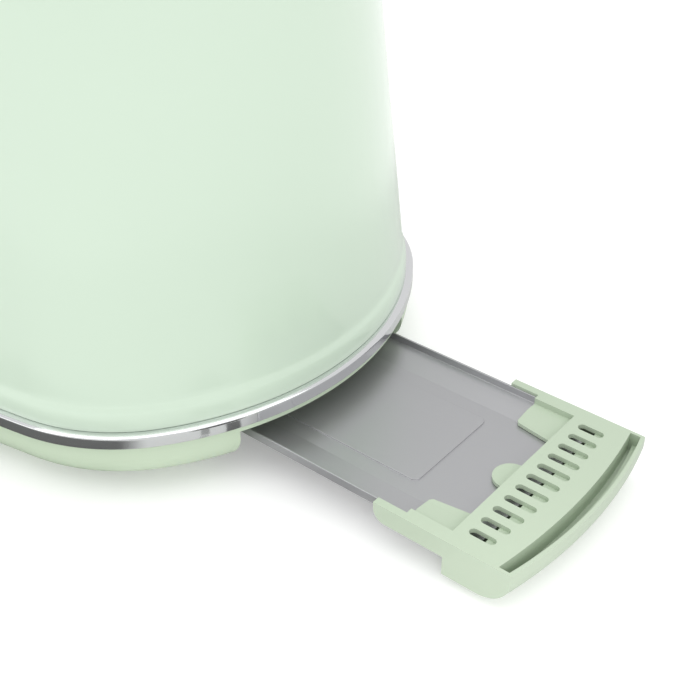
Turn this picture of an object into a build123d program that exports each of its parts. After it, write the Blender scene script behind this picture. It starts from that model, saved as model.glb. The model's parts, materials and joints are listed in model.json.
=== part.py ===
from build123d import *
import os
from math import atan2, cos, degrees, hypot, radians, sin, sqrt, tan

# Two-slot pop-up toaster with a pull-out crumb tray.
# Millimetres. Z is up and the feet stand on Z = 0. The crumb tray slides out along +X, the lift
# lever and the controls are at the -X end, and the tray is drawn partly pulled out.

# ---- plan outline shared by the skirt, the band and the shell: an oval of tangent arcs ----
HALF_LENGTH = 150.0
HALF_WIDTH = 99.5
END_RADIUS = 109.5
SIDE_RADIUS = 440.0
CORNER_RADIUS = 64.0

# ---- heights of the outer layers ----
SKIRT_BOTTOM = 7.0
BAND_BOTTOM = 22.8
BAND_TOP = 27.6
BEAD_TOP = 36.5
SHELL_TOP = 204.0

# ---- how far each layer stands inside the band's outline ----
SKIRT_INSET = 1.2
SKIRT_ROUNDING = 11.0
SKIRT_WALL = 2.8
NECK_INSET = 6.8
BAND_WIDTH = 6.6
BEAD_INSET = 2.7
WALL_INSET = 4.2
LEAN = 5.5
SHOULDER = 32.0
SHELL_SHEET = 1.2
FLOOR_TOP = SKIRT_BOTTOM + 3.0

# ---- crumb tray: positions along X are measured from the back ends of its slots ----
TRAY_X = 221.5
TRAY_Z = 17.5
TRAY_HALF = 40.0
TRAY_DEPTH = 14.0
TRAY_ROUNDING = 10.8
SLOT_COUNT = 11
SLOT_PITCH = 6.3
SLOT_WIDTH = 3.0
PLATE = 1.7
PLATE_FRONT = 18.75
PLATE_RADIUS = 210.0
LIP_INNER = 23.5
LIP_INNER_RADIUS = 163.0
LIP_OUTER = 24.7
LIP_OUTER_RADIUS = 170.0
ARM_BACK = -29.8
GRIP_BACK = -19.0
ARM_HEIGHT = 7.0
PLATE_BACK = -3.7
PAN_SHEET = 0.6
PAN_FLOOR = TRAY_Z - 5.0
PAN_HALF = 37.2
PAN_BACK = -235.0
PAN_FLAT_HALF = 26.0
PAN_WALL = 0.7
PAN_RISE = 1.5
PAN_NECK_HALF = 33.6

# ---- toasting chamber ----
SLOT_Y = 23.0
BREAD_LENGTH = 140.0
BREAD_WIDTH = 34.0
CHAMBER_X = 82.0
CHAMBER_Y = 50.0
CHAMBER_TOP = 190.0
SHEET = 0.8
CARD_Y = 45.0
GUIDE_OFFSET = 14.0

# ---- carriage and lever ----
ROD_X = -98.0
ROD_Y = 20.0
ROD_RADIUS = 2.0
ROD_GAP = 0.06
ARM_Z = 156.0
ARM_TALL = 6.0
RACK_Z = 122.0
SPRING_Y = -9.0
SPRING_TOP = 186.0

# ---- control panel on the leaning -X end wall ----
PANEL_Z = 70.0
KNOB_V = -14.0
BUTTON_V = 14.0
BUTTON_PITCH = 14.0
KNOB_RADIUS = 12.8
BOARD_BACK = -24.0


def corner_centre():
    """Centre of the oval's +X +Y corner arc, tangent to the end arc and to the side arc."""
    end_x = HALF_LENGTH - END_RADIUS
    side_y = HALF_WIDTH - SIDE_RADIUS
    reach_end = END_RADIUS - CORNER_RADIUS
    reach_side = SIDE_RADIUS - CORNER_RADIUS
    base = hypot(end_x, side_y)
    along = (reach_side**2 - reach_end**2 + base**2) / (2 * base)
    out = sqrt(reach_side**2 - along**2)
    ux, uy = end_x / base, -side_y / base
    return ux * along + uy * out, side_y + uy * along - ux * out


CORNER_X, CORNER_Y = corner_centre()
END_ANGLE = degrees(atan2(CORNER_Y, CORNER_X - (HALF_LENGTH - END_RADIUS)))
SIDE_ANGLE = degrees(atan2(CORNER_Y - (HALF_WIDTH - SIDE_RADIUS), CORNER_X))


def oval_face(inset):
    """The plan outline, moved inwards by inset, as a face in the sketch being built."""
    end_x = HALF_LENGTH - END_RADIUS
    side_y = HALF_WIDTH - SIDE_RADIUS
    end_r = END_RADIUS - inset
    side_r = SIDE_RADIUS - inset
    corner_r = CORNER_RADIUS - inset
    turn = SIDE_ANGLE - END_ANGLE
    side_turn = 180 - 2 * SIDE_ANGLE
    with BuildLine(Plane.XY) as outline:
        CenterArc((end_x, 0), end_r, -END_ANGLE, 2 * END_ANGLE)
        CenterArc((CORNER_X, CORNER_Y), corner_r, END_ANGLE, turn)
        CenterArc((0, side_y), side_r, SIDE_ANGLE, side_turn)
        CenterArc((-CORNER_X, CORNER_Y), corner_r, 180 - SIDE_ANGLE, turn)
        CenterArc((-end_x, 0), end_r, 180 - END_ANGLE, 2 * END_ANGLE)
        CenterArc((-CORNER_X, -CORNER_Y), corner_r, 180 + END_ANGLE, turn)
        CenterArc((0, -side_y), side_r, 180 + SIDE_ANGLE, side_turn)
        CenterArc((CORNER_X, -CORNER_Y), corner_r, -SIDE_ANGLE, turn)
    make_face(outline.edges())


def wall_inset(z):
    """Inset of the shell's leaning wall at height z."""
    return WALL_INSET + (z - BEAD_TOP) * tan(radians(LEAN))


def block(x0, x1, y0, y1, z0, z1, mode=Mode.ADD):
    """A box between two corners, in the part being built."""
    with Locations(((x0 + x1) / 2, (y0 + y1) / 2, (z0 + z1) / 2)):
        Box(x1 - x0, y1 - y0, z1 - z0, mode=mode)


def rod_z(x, y, radius, z0, z1, mode=Mode.ADD):
    """An upright round bar or hole."""
    with Locations((x, y, (z0 + z1) / 2)):
        Cylinder(radius, z1 - z0, mode=mode)


def save(builder, label):
    """Name a finished piece and write its file."""
    builder.part.label = label
    export_step(builder.part, f"parts/{label}.step")


os.makedirs("parts", exist_ok=True)

# ======================= base: skirt, band and feet =======================

FOOT_X = 95.0
FOOT_Y = 58.0
FOOT_SPOTS = [(x, y) for x in (-FOOT_X, FOOT_X) for y in (-FOOT_Y, FOOT_Y)]
TABS = [(x, y) for x in (-88.0, 88.0) for y in (-47.0, 47.0)]
GLAND_X = -60.0
GLAND_Z = 15.5
GLAND_RADIUS = 4.0
BAY_BACK = 113.0
BAY_HALF = 43.3
BAY_TOP = 20.4
SKIRT_TOP = BAND_BOTTOM

with BuildPart() as skirt_cavity:
    with BuildSketch(Plane.XY.offset(FLOOR_TOP)):
        oval_face(SKIRT_INSET + SKIRT_WALL)
    extrude(amount=SKIRT_TOP - 2.0 - FLOOR_TOP)
    fillet(skirt_cavity.faces().sort_by(Axis.Z)[0].edges(), SKIRT_ROUNDING - SKIRT_WALL)
    with BuildSketch(Plane.XY.offset(FLOOR_TOP)):
        oval_face(NECK_INSET + 2.2)
    extrude(amount=20)
    block(BAY_BACK, 160, -BAY_HALF - 2.5, BAY_HALF + 2.5, 0, 40, mode=Mode.SUBTRACT)

with BuildPart() as base_skirt:
    with BuildSketch(Plane.XY.offset(SKIRT_BOTTOM)):
        oval_face(SKIRT_INSET)
    extrude(amount=SKIRT_TOP - SKIRT_BOTTOM)
    fillet(base_skirt.faces().sort_by(Axis.Z)[0].edges(), SKIRT_ROUNDING)
    chamfer(base_skirt.faces().sort_by(Axis.Z)[-1].edges(), 0.4)
    with BuildSketch(Plane.XY.offset(SKIRT_TOP)):
        oval_face(NECK_INSET)
    extrude(amount=3.8)
    add(skirt_cavity.part, mode=Mode.SUBTRACT)
    # bay for the crumb tray: the front notch and the doorway behind it
    block(BAY_BACK + 2.5, 160, -BAY_HALF, BAY_HALF, 0, BAY_TOP, mode=Mode.SUBTRACT)
    block(BAY_BACK - 1, 160, -41.2, 41.2, FLOOR_TOP + 0.1, 18.8, mode=Mode.SUBTRACT)
    # screw bosses over the feet
    with Locations([(x, y, FLOOR_TOP + 3.5) for x, y in FOOT_SPOTS]):
        Cylinder(4.5, 7.0)
    with Locations([(x, y, SKIRT_BOTTOM + 5.0) for x, y in FOOT_SPOTS]):
        Cylinder(1.55, 10.1, mode=Mode.SUBTRACT)
    with Locations([(x, y, SKIRT_BOTTOM + 2.0) for x, y in TABS]):
        Cylinder(1.35, 4.2, mode=Mode.SUBTRACT)
    # air slots in the floor
    for side in (-1, 1):
        with BuildSketch(Plane.XY.offset(SKIRT_BOTTOM)):
            with Locations((0, side * 64)):
                with GridLocations(12, 1, 7, 1):
                    SlotOverall(24, 4, rotation=90)
        extrude(amount=3.0, mode=Mode.SUBTRACT)
    # hole for the mains lead's gland
    with Locations(Plane(origin=(GLAND_X, 92, GLAND_Z), z_dir=(0, 1, 0))):
        Cylinder(GLAND_RADIUS, 14, mode=Mode.SUBTRACT)
save(base_skirt, "base_skirt")

with BuildPart() as base_band:
    with BuildSketch(Plane.XY.offset(BAND_BOTTOM)):
        oval_face(0)
    extrude(amount=BAND_TOP - BAND_BOTTOM)
    outer_top = base_band.faces().sort_by(Axis.Z)[-1].edges()
    outer_low = base_band.faces().sort_by(Axis.Z)[0].edges()
    chamfer(outer_top, 0.4, 1.5, reference=base_band.faces().sort_by(Axis.Z)[-1])
    fillet(outer_low, 0.3)
    with BuildSketch(Plane.XY.offset(BAND_BOTTOM)):
        oval_face(BAND_WIDTH)
    extrude(amount=BAND_TOP - BAND_BOTTOM, mode=Mode.SUBTRACT)
save(base_band, "base_band")

with BuildPart() as rubber_feet:
    with BuildSketch(Plane.XZ) as foot_profile:
        with BuildLine():
            Polyline((1.7, 3.0), (4.2, 3.0), (4.2, 0), (8.0, 0), (9.0, 1.0), (9.5, SKIRT_BOTTOM))
            Polyline((9.5, SKIRT_BOTTOM), (1.7, SKIRT_BOTTOM), (1.7, 3.0))
        make_face()
    with Locations([(x, y, 0) for x, y in FOOT_SPOTS]):
        add(revolve(foot_profile.sketch, axis=Axis.Z, mode=Mode.PRIVATE))
save(rubber_feet, "rubber_feet")

with BuildPart() as foot_screws:
    with Locations([(x, y, 1.9) for x, y in FOOT_SPOTS]):
        Cylinder(3.4, 2.2)
    with Locations([(x, y, 9.0) for x, y in FOOT_SPOTS]):
        Cylinder(1.5, 12.0)
save(foot_screws, "foot_screws")

# ======================= painted shell and its openings =======================


def panel_plane(out, v=0.0):
    """A plane on the leaning -X end wall: out along its normal, v up the wall from the panel's middle."""
    lean = radians(LEAN)
    normal = Vector(-cos(lean), 0, sin(lean))
    up = Vector(sin(lean), 0, cos(lean))
    origin = Vector(-(HALF_LENGTH - wall_inset(PANEL_Z)), 0, PANEL_Z)
    return Plane(origin=origin + up * v + normal * out, x_dir=(0, -1, 0), z_dir=normal)


def shell_form(start, grow):
    """Solid of the shell's leaning wall and rounded shoulder, moved outwards by grow."""
    with BuildPart() as form:
        with BuildSketch(Plane.XY.offset(start)):
            oval_face(wall_inset(start) - grow)
        extrude(amount=SHELL_TOP + grow - start, taper=LEAN)
        fillet(form.faces().sort_by(Axis.Z)[-1].edges(), SHOULDER + grow)
    return form.part


shell_outer = shell_form(BAND_TOP, 0)
SLOT_TRIM_LOW = 96.5
SLOT_TRIM_HIGH = 169.0

with BuildPart() as body_shell:
    with BuildSketch(Plane.XY.offset(BAND_TOP)):
        oval_face(BEAD_INSET)
    extrude(amount=BEAD_TOP - 0.5 - BAND_TOP)
    fillet(body_shell.faces().sort_by(Axis.Z)[-1].edges(), 1.1)
    fillet(body_shell.faces().sort_by(Axis.Z)[0].edges(), 0.4)
    add(shell_outer)
    add(shell_form(BAND_TOP, -SHELL_SHEET), mode=Mode.SUBTRACT)
    with BuildSketch(Plane.XY.offset(SHELL_TOP - 6)):
        RectangleRounded(160, 87, 11)
    extrude(amount=8, mode=Mode.SUBTRACT)
    with BuildSketch(Plane.YZ.offset(-160)):
        with Locations((0, (SLOT_TRIM_LOW + SLOT_TRIM_HIGH) / 2)):
            SlotOverall(SLOT_TRIM_HIGH - SLOT_TRIM_LOW, 8.0, rotation=90)
    extrude(amount=50, mode=Mode.SUBTRACT)
    with BuildSketch(panel_plane(-8, KNOB_V)):
        Circle(15.4)
    extrude(amount=14, mode=Mode.SUBTRACT)
    with BuildSketch(panel_plane(-8, BUTTON_V)):
        SlotOverall(42.6, 11.0)
    extrude(amount=14, mode=Mode.SUBTRACT)
save(body_shell, "body_shell")

with BuildPart() as slot_surround:
    with BuildSketch(Plane.XY.offset(SHELL_TOP)):
        RectangleRounded(168, 95, 15)
    extrude(amount=1.6)
    fillet(slot_surround.faces().sort_by(Axis.Z)[-1].edges(), 1.0)
    with BuildSketch(Plane.XY.offset(SHELL_TOP - 3)):
        RectangleRounded(159.4, 86.4, 10.7)
        RectangleRounded(156, 83, 9, mode=Mode.SUBTRACT)
    extrude(amount=3)
    with BuildSketch(Plane.XY.offset(CHAMBER_TOP + SHEET)):
        with GridLocations(0, 2 * SLOT_Y, 1, 2):
            RectangleRounded(BREAD_LENGTH + 2.4, BREAD_WIDTH + 2.4, 6)
    extrude(amount=SHELL_TOP - CHAMBER_TOP - SHEET)
    with BuildSketch(Plane.XY.offset(CHAMBER_TOP)):
        with GridLocations(0, 2 * SLOT_Y, 1, 2):
            RectangleRounded(BREAD_LENGTH, BREAD_WIDTH, 5)
    extrude(amount=20, mode=Mode.SUBTRACT)
save(slot_surround, "slot_surround")

with BuildPart() as lever_slot_trim:
    with BuildSketch(Plane.YZ.offset(-160)):
        with Locations((0, (SLOT_TRIM_LOW + SLOT_TRIM_HIGH) / 2)):
            SlotOverall(SLOT_TRIM_HIGH - SLOT_TRIM_LOW + 5, 13.0, rotation=90)
    extrude(amount=50)
    add(shell_form(BAND_TOP, 0.9), mode=Mode.INTERSECT)
    add(shell_outer, mode=Mode.SUBTRACT)
    with BuildSketch(Plane.YZ.offset(-160)):
        with Locations((0, (SLOT_TRIM_LOW + SLOT_TRIM_HIGH) / 2)):
            SlotOverall(SLOT_TRIM_HIGH - SLOT_TRIM_LOW, 8.0, rotation=90)
    extrude(amount=50, mode=Mode.SUBTRACT)
save(lever_slot_trim, "lever_slot_trim")

with BuildPart() as knob_bezel:
    with BuildSketch(panel_plane(-3, KNOB_V)):
        Circle(18.5)
    extrude(amount=5.2)
    fillet(knob_bezel.faces().sort_by(Axis.X)[0].edges(), 1.2)
    add(shell_outer, mode=Mode.SUBTRACT)
    with BuildSketch(panel_plane(-6, KNOB_V)):
        Circle(15.3)
    extrude(amount=7.2)
    with BuildSketch(panel_plane(-7, KNOB_V)):
        Circle(13.5)
    extrude(amount=12, mode=Mode.SUBTRACT)
save(knob_bezel, "knob_bezel")

BUTTON_HOLE = 3.9
BUTTON_RADIUS = 3.5
with BuildPart() as button_bezel:
    with BuildSketch(panel_plane(-5, BUTTON_V)):
        SlotOverall(49, 15.5)
    extrude(amount=7.2)
    fillet(button_bezel.faces().sort_by(Axis.X)[0].edges(), 1.2)
    add(shell_outer, mode=Mode.SUBTRACT)
    with BuildSketch(panel_plane(-5, BUTTON_V)):
        SlotOverall(42.4, 10.8)
    extrude(amount=6)
    with BuildSketch(panel_plane(-6, BUTTON_V)):
        with GridLocations(BUTTON_PITCH, 1, 3, 1):
            Circle(BUTTON_HOLE)
    extrude(amount=12, mode=Mode.SUBTRACT)
save(button_bezel, "button_bezel")

# ======================= toasting chamber =======================


def end_plate(inner_x, outward, slits):
    """Upright end plate of the chamber, with a doorway for the tray and two foot tabs."""
    outer_x = inner_x + outward * SHEET
    x0, x1 = sorted((inner_x, outer_x))
    t0, t1 = sorted((outer_x, outward * 93.0))
    with BuildPart() as plate:
        block(x0, x1, -CHAMBER_Y, CHAMBER_Y, FLOOR_TOP, CHAMBER_TOP)
        block(x0 - 1, x1 + 1, -43.2, 43.2, FLOOR_TOP - 1, 21, mode=Mode.SUBTRACT)
        block(t0, t1, -CHAMBER_Y, -43.2, FLOOR_TOP, FLOOR_TOP + 1)
        block(t0, t1, 43.2, CHAMBER_Y, FLOOR_TOP, FLOOR_TOP + 1)
        for x, y in TABS:
            rod_z(x, y, 1.35, FLOOR_TOP - 1, FLOOR_TOP + 2, mode=Mode.SUBTRACT)
        if slits:
            for y in (-SLOT_Y, SLOT_Y):
                block(x0 - 1, x1 + 1, y - 3, y + 3, 56, 136, mode=Mode.SUBTRACT)
        with BuildSketch(Plane.YZ.offset(x0 - 1)):
            with Locations((0, 165)):
                with GridLocations(11, 9, 7, 3):
                    Circle(2.2)
        extrude(amount=4, mode=Mode.SUBTRACT)
    return plate


front_end_plate = end_plate(-CHAMBER_X, -1, True)
save(front_end_plate, "front_end_plate")
rear_end_plate = end_plate(CHAMBER_X, 1, False)
save(rear_end_plate, "rear_end_plate")

with BuildPart() as frame_screws:
    with Locations([(x, y, FLOOR_TOP + 1.9) for x, y in TABS]):
        Cylinder(2.6, 1.8)
    with Locations([(x, y, SKIRT_BOTTOM + 2.5) for x, y in TABS]):
        Cylinder(1.3, 3.4)
save(frame_screws, "frame_screws")

for side, name in ((-1, "right"), (1, "left")):
    y0, y1 = sorted((side * (CHAMBER_Y - SHEET), side * CHAMBER_Y))
    with BuildPart() as heat_shield:
        block(-CHAMBER_X, CHAMBER_X, y0, y1, 41, CHAMBER_TOP)
        with BuildSketch(Plane.XZ.offset(-y1 - 1)):
            with Locations((0, 120)):
                with GridLocations(15, 20, 9, 5):
                    SlotOverall(9, 3)
        extrude(amount=3, mode=Mode.SUBTRACT)
    save(heat_shield, f"{name}_heat_shield")

    with BuildPart() as crumb_chute:
        with BuildSketch(Plane.YZ.offset(-CHAMBER_X)):
            with BuildLine():
                Polyline(
                    (side * 49.9, 41.0),
                    (side * 49.2, 41.0),
                    (side * 37.6, 21.6),
                    (side * 38.4, 21.6),
                    (side * 49.9, 40.6),
                    (side * 49.9, 41.0),
                )
            make_face()
        extrude(amount=2 * CHAMBER_X)
    save(crumb_chute, f"{name}_crumb_chute")

with BuildPart() as chamber_cap:
    block(-CHAMBER_X - SHEET, CHAMBER_X + SHEET, -52, 52, CHAMBER_TOP, CHAMBER_TOP + SHEET)
    with BuildSketch(Plane.XY.offset(CHAMBER_TOP)):
        with GridLocations(0, 2 * SLOT_Y, 1, 2):
            RectangleRounded(BREAD_LENGTH, BREAD_WIDTH, 5)
    extrude(amount=SHEET, mode=Mode.SUBTRACT)
save(chamber_cap, "chamber_cap")

CARD_LOW = 60.0
CARD_HIGH = 186.0
CARD_HALF = 0.4
RIBBON_X = 65.0
RIBBON_ROWS = 10
RIBBON_PITCH = 11.0
RIBBON_LOW = 73.0
RIBBON_WIDE = 1.6
RIBBON_THICK = 0.3


def card(y, label):
    """Mica card between the end plates, with a row of notches along its top edge."""
    with BuildPart() as mica:
        block(-CHAMBER_X, CHAMBER_X, y - CARD_HALF, y + CARD_HALF, CARD_LOW, CARD_HIGH)
        with Locations([(x, y, CARD_HIGH) for x in range(-70, 71, 20)]):
            Box(6, 4, 4, mode=Mode.SUBTRACT)
    save(mica, label)


def ribbon(y0, y1):
    """One heating ribbon that runs to and fro over a card's face."""
    for row in range(RIBBON_ROWS):
        z = RIBBON_LOW + row * RIBBON_PITCH
        block(-RIBBON_X, RIBBON_X, y0, y1, z, z + RIBBON_WIDE)
        if row < RIBBON_ROWS - 1:
            end = RIBBON_X if row % 2 else -RIBBON_X
            x0, x1 = sorted((end, end * (1 - RIBBON_WIDE / RIBBON_X)))
            block(x0, x1, y0, y1, z, z + RIBBON_PITCH + RIBBON_WIDE)


card(-CARD_Y, "right_heater_card")
card(0, "centre_heater_card")
card(CARD_Y, "left_heater_card")

for side, name in ((-1, "right"), (1, "left")):
    face = side * (CARD_Y - CARD_HALF)
    y0, y1 = sorted((face, face - side * RIBBON_THICK))
    with BuildPart() as heater_ribbon:
        ribbon(y0, y1)
    save(heater_ribbon, f"{name}_heater_ribbon")

with BuildPart() as centre_ribbons:
    ribbon(CARD_HALF, CARD_HALF + RIBBON_THICK)
    ribbon(-CARD_HALF - RIBBON_THICK, -CARD_HALF)
save(centre_ribbons, "centre_heater_ribbons")

GUIDE_NAMES = ("right_outer", "right_inner", "left_inner", "left_outer")
GUIDE_YS = (-SLOT_Y - GUIDE_OFFSET, -SLOT_Y + GUIDE_OFFSET, SLOT_Y - GUIDE_OFFSET, SLOT_Y + GUIDE_OFFSET)
for name, y in zip(GUIDE_NAMES, GUIDE_YS):
    with BuildPart() as bread_guide:
        for x in range(-64, 65, 16):
            rod_z(x, y, 0.9, 64, 187)
        for z in (64, 187):
            with Locations(Plane(origin=(0, y, z), z_dir=(1, 0, 0))):
                Cylinder(1.1, 2 * CHAMBER_X)
    save(bread_guide, f"{name}_bread_guide")

for side, name in ((-1, "right"), (1, "left")):
    with BuildPart() as tray_rail:
        y0, y1 = sorted((side * 41.0, side * 43.0))
        block(-112, BAY_BACK, y0, y1, FLOOR_TOP, 19.4)
        y0, y1 = sorted((side * 30.0, side * 41.0))
        block(-112, 92, y0, y1, FLOOR_TOP, PAN_FLOOR - PAN_SHEET - 0.3)
        y0, y1 = sorted((side * 35.5, side * 41.0))
        block(-112, BAY_BACK, y0, y1, 18.0, 19.4)
    save(tray_rail, f"{name}_tray_rail")

# ======================= lift carriage, latch and spring =======================

BRACKET_END = -112.0
LOW_BRACKET = 27.0
END_PLATE_FACE = -CHAMBER_X - SHEET

with BuildPart() as top_rod_bracket:
    block(BRACKET_END + 4, END_PLATE_FACE, -29, 29, SPRING_TOP, SPRING_TOP + 1.5)
save(top_rod_bracket, "top_rod_bracket")

with BuildPart() as low_rod_bracket:
    block(BRACKET_END, END_PLATE_FACE, -29, 29, LOW_BRACKET, LOW_BRACKET + 1.5)
save(low_rod_bracket, "low_rod_bracket")

with BuildPart() as guide_rods:
    for y in (-ROD_Y, ROD_Y):
        rod_z(ROD_X, y, ROD_RADIUS, LOW_BRACKET + 1.5, SPRING_TOP)
save(guide_rods, "guide_rods")

CORE_BASE = LOW_BRACKET + 1.5
CORE_TOP = 53.5
with BuildPart() as magnet_core:
    block(-107, -95, -11, 11, CORE_BASE, CORE_BASE + 3)
    for y0, y1 in ((-11, -8), (-3, 3), (8, 11)):
        block(-107, -95, y0, y1, CORE_BASE + 3, CORE_TOP)
save(magnet_core, "magnet_core")

with BuildPart() as magnet_coil:
    with BuildSketch(Plane.XY.offset(CORE_BASE + 3)):
        with Locations((-101, 0)):
            RectangleRounded(19, 15.4, 2)
            Rectangle(12.4, 6.4, mode=Mode.SUBTRACT)
    extrude(amount=17)
save(magnet_coil, "magnet_coil")

CARRIAGE_LOW = 114.0
CARRIAGE_HIGH = 166.0
CARRIAGE_X = -94.0
with BuildPart() as carriage:
    block(CARRIAGE_X, CARRIAGE_X + 2, -27, 27, CARRIAGE_LOW, CARRIAGE_HIGH)
    for y in (-ROD_Y, ROD_Y):
        for low in (CARRIAGE_LOW, CARRIAGE_HIGH - 14):
            rod_z(ROD_X, y, 4.8, low, low + 14)
        rod_z(ROD_X, y, ROD_RADIUS + ROD_GAP, CARRIAGE_LOW - 1, CARRIAGE_HIGH + 1, mode=Mode.SUBTRACT)
    block(ROD_X - 3, CARRIAGE_X, SPRING_Y - 3.5, SPRING_Y + 3.5, 118, 120)
    block(CARRIAGE_X, CARRIAGE_X + 2, -12, 12, 128, 148, mode=Mode.SUBTRACT)
save(carriage, "carriage")

for side, name in ((-1, "right"), (1, "left")):
    y = side * SLOT_Y
    with BuildPart() as bread_rack:
        block(CARRIAGE_X + 2, 66, y - 0.6, y + 0.6, RACK_Z - 4, RACK_Z)
        block(-78, 66, y - 4, y + 4, RACK_Z, RACK_Z + 1)
        block(CARRIAGE_X + 2, -78, y - 0.6, y + 0.6, RACK_Z, RACK_Z + 1)
        with BuildSketch(Plane.XY.offset(RACK_Z)):
            with Locations((-6, y)):
                with GridLocations(17, 5, 8, 2):
                    SlotOverall(10, 1.6)
        extrude(amount=1, mode=Mode.SUBTRACT)
    save(bread_rack, f"{name}_bread_rack")

ARM_END = -155.5
KNOB_BACK = -160.5
with BuildPart() as lever_arm:
    block(ARM_END, CARRIAGE_X, -1.5, 1.5, ARM_Z, ARM_Z + ARM_TALL)
save(lever_arm, "lever_arm")

KNOB_MIDDLE = ARM_Z + ARM_TALL / 2
with BuildPart() as lever_knob:
    with BuildSketch(Plane.YZ.offset(KNOB_BACK)):
        with Locations((0, KNOB_MIDDLE)):
            SlotOverall(36, 15)
    extrude(amount=17)
    fillet(lever_knob.faces().sort_by(Axis.X)[0].edges(), 4.5)
    fillet(lever_knob.faces().sort_by(Axis.X)[-1].edges(), 2.5)
    block(ARM_END, -142, -1.5, 1.5, ARM_Z, ARM_Z + ARM_TALL, mode=Mode.SUBTRACT)
save(lever_knob, "lever_knob")

with BuildPart() as latch_keeper:
    block(-108, CARRIAGE_X + 2, -11, 11, CARRIAGE_LOW - 2, CARRIAGE_LOW)
save(latch_keeper, "latch_keeper")

SPRING_LOW = 120.0
SPRING_COIL = 3.0
SPRING_WIRE = 0.5
SPRING_PITCH = 3.0
with BuildPart() as lift_spring:
    with BuildLine() as coil:
        Helix(
            SPRING_PITCH,
            SPRING_TOP - SPRING_LOW - 2 * SPRING_WIRE,
            SPRING_COIL,
            center=(ROD_X, SPRING_Y, SPRING_LOW + SPRING_WIRE),
        )
    with BuildSketch(Plane(origin=coil.line @ 0, z_dir=coil.line % 0)):
        Circle(SPRING_WIRE)
    sweep(path=coil.line, is_frenet=True)
save(lift_spring, "lift_spring")

# ======================= controls =======================

BOARD_TOP = BOARD_BACK + 1.6
with BuildPart() as control_board:
    with BuildSketch(panel_plane(BOARD_BACK, -4)):
        RectangleRounded(68, 60, 2)
        with GridLocations(60, 52, 2, 2):
            Circle(1.35, mode=Mode.SUBTRACT)
    extrude(amount=1.6)
save(control_board, "control_board")

with BuildPart() as board_holder:
    with BuildSketch(panel_plane(BOARD_BACK, -4)):
        RectangleRounded(72, 64, 3)
        with GridLocations(27, 1, 2, 1):
            RectangleRounded(21, 40, 3, mode=Mode.SUBTRACT)
    extrude(amount=-3)
    with BuildSketch(panel_plane(BOARD_BACK, -52)):
        with GridLocations(60, 1, 2, 1):
            Rectangle(8, 44)
    extrude(amount=-3)
    with BuildSketch(panel_plane(BOARD_BACK, -4)):
        with GridLocations(60, 52, 2, 2):
            Circle(1.2)
    extrude(amount=-3, mode=Mode.SUBTRACT)
    split(bisect_by=Plane.XY.offset(FLOOR_TOP), keep=Keep.TOP)
save(board_holder, "board_holder")

with BuildPart() as board_screws:
    with BuildSketch(panel_plane(BOARD_TOP, -4)):
        with GridLocations(60, 52, 2, 2):
            Circle(2.4)
    extrude(amount=1.4)
    with BuildSketch(panel_plane(BOARD_BACK - 3, -4)):
        with GridLocations(60, 52, 2, 2):
            Circle(1.15)
    extrude(amount=4.6)
save(board_screws, "board_screws")

with BuildPart() as timer_pot:
    with BuildSketch(panel_plane(BOARD_TOP, KNOB_V)):
        Circle(8.5)
    extrude(amount=8)
    with BuildSketch(panel_plane(BOARD_TOP, KNOB_V)):
        Circle(4.2)
    extrude(amount=13)
    with BuildSketch(panel_plane(BOARD_TOP + 1, KNOB_V)):
        Circle(3.05)
    extrude(amount=14, mode=Mode.SUBTRACT)
save(timer_pot, "timer_pot")

with BuildPart() as button_switches:
    with BuildSketch(panel_plane(BOARD_TOP, BUTTON_V)):
        with GridLocations(BUTTON_PITCH, 1, 3, 1):
            Rectangle(6, 6)
    extrude(amount=3)
    with BuildSketch(panel_plane(BOARD_TOP + 3, BUTTON_V)):
        with GridLocations(BUTTON_PITCH, 1, 3, 1):
            Circle(1.6)
    extrude(amount=0.6)
save(button_switches, "button_switches")

with BuildPart() as knob_shaft:
    with BuildSketch(panel_plane(BOARD_TOP + 1.4, KNOB_V)):
        Circle(3.0)
    extrude(amount=30)
save(knob_shaft, "knob_shaft")

with BuildPart() as browning_knob:
    with BuildSketch(panel_plane(-1, KNOB_V)):
        Circle(KNOB_RADIUS)
    extrude(amount=16.5, taper=3)
    fillet(browning_knob.faces().sort_by(Axis.X)[0].edges(), 2.0)
    with BuildSketch(panel_plane(-2, KNOB_V)):
        Circle(KNOB_RADIUS - 2.5)
        Circle(5.5, mode=Mode.SUBTRACT)
    extrude(amount=12, mode=Mode.SUBTRACT)
    with BuildSketch(panel_plane(-2, KNOB_V)):
        Circle(3.0)
    extrude(amount=11.0, mode=Mode.SUBTRACT)
    with BuildSketch(panel_plane(14.9, KNOB_V)):
        with Locations((0, 6.0)):
            SlotOverall(8.6, 1.8, rotation=90)
    extrude(amount=2, mode=Mode.SUBTRACT)
save(browning_knob, "browning_knob")

with BuildPart() as knob_pointer:
    with BuildSketch(panel_plane(14.9, KNOB_V)):
        with Locations((0, 6.0)):
            SlotOverall(8.4, 1.6, rotation=90)
    extrude(amount=0.8)
save(knob_pointer, "knob_pointer")

BUTTON_NAMES = ("reheat_button", "cancel_button", "defrost_button")
for index, name in enumerate(BUTTON_NAMES):
    u = (index - 1) * BUTTON_PITCH
    with BuildPart() as push_button:
        with BuildSketch(panel_plane(-7, BUTTON_V)):
            with Locations((u, 0)):
                Circle(BUTTON_RADIUS)
        extrude(amount=11.4)
        fillet(push_button.faces().sort_by(Axis.X)[0].edges(), 0.8)
        with BuildSketch(panel_plane(BOARD_TOP + 5.8, BUTTON_V)):
            with Locations((u, 0)):
                Circle(1.6)
        extrude(amount=10)
    save(push_button, name)

# ======================= mains entry and wiring =======================

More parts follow.
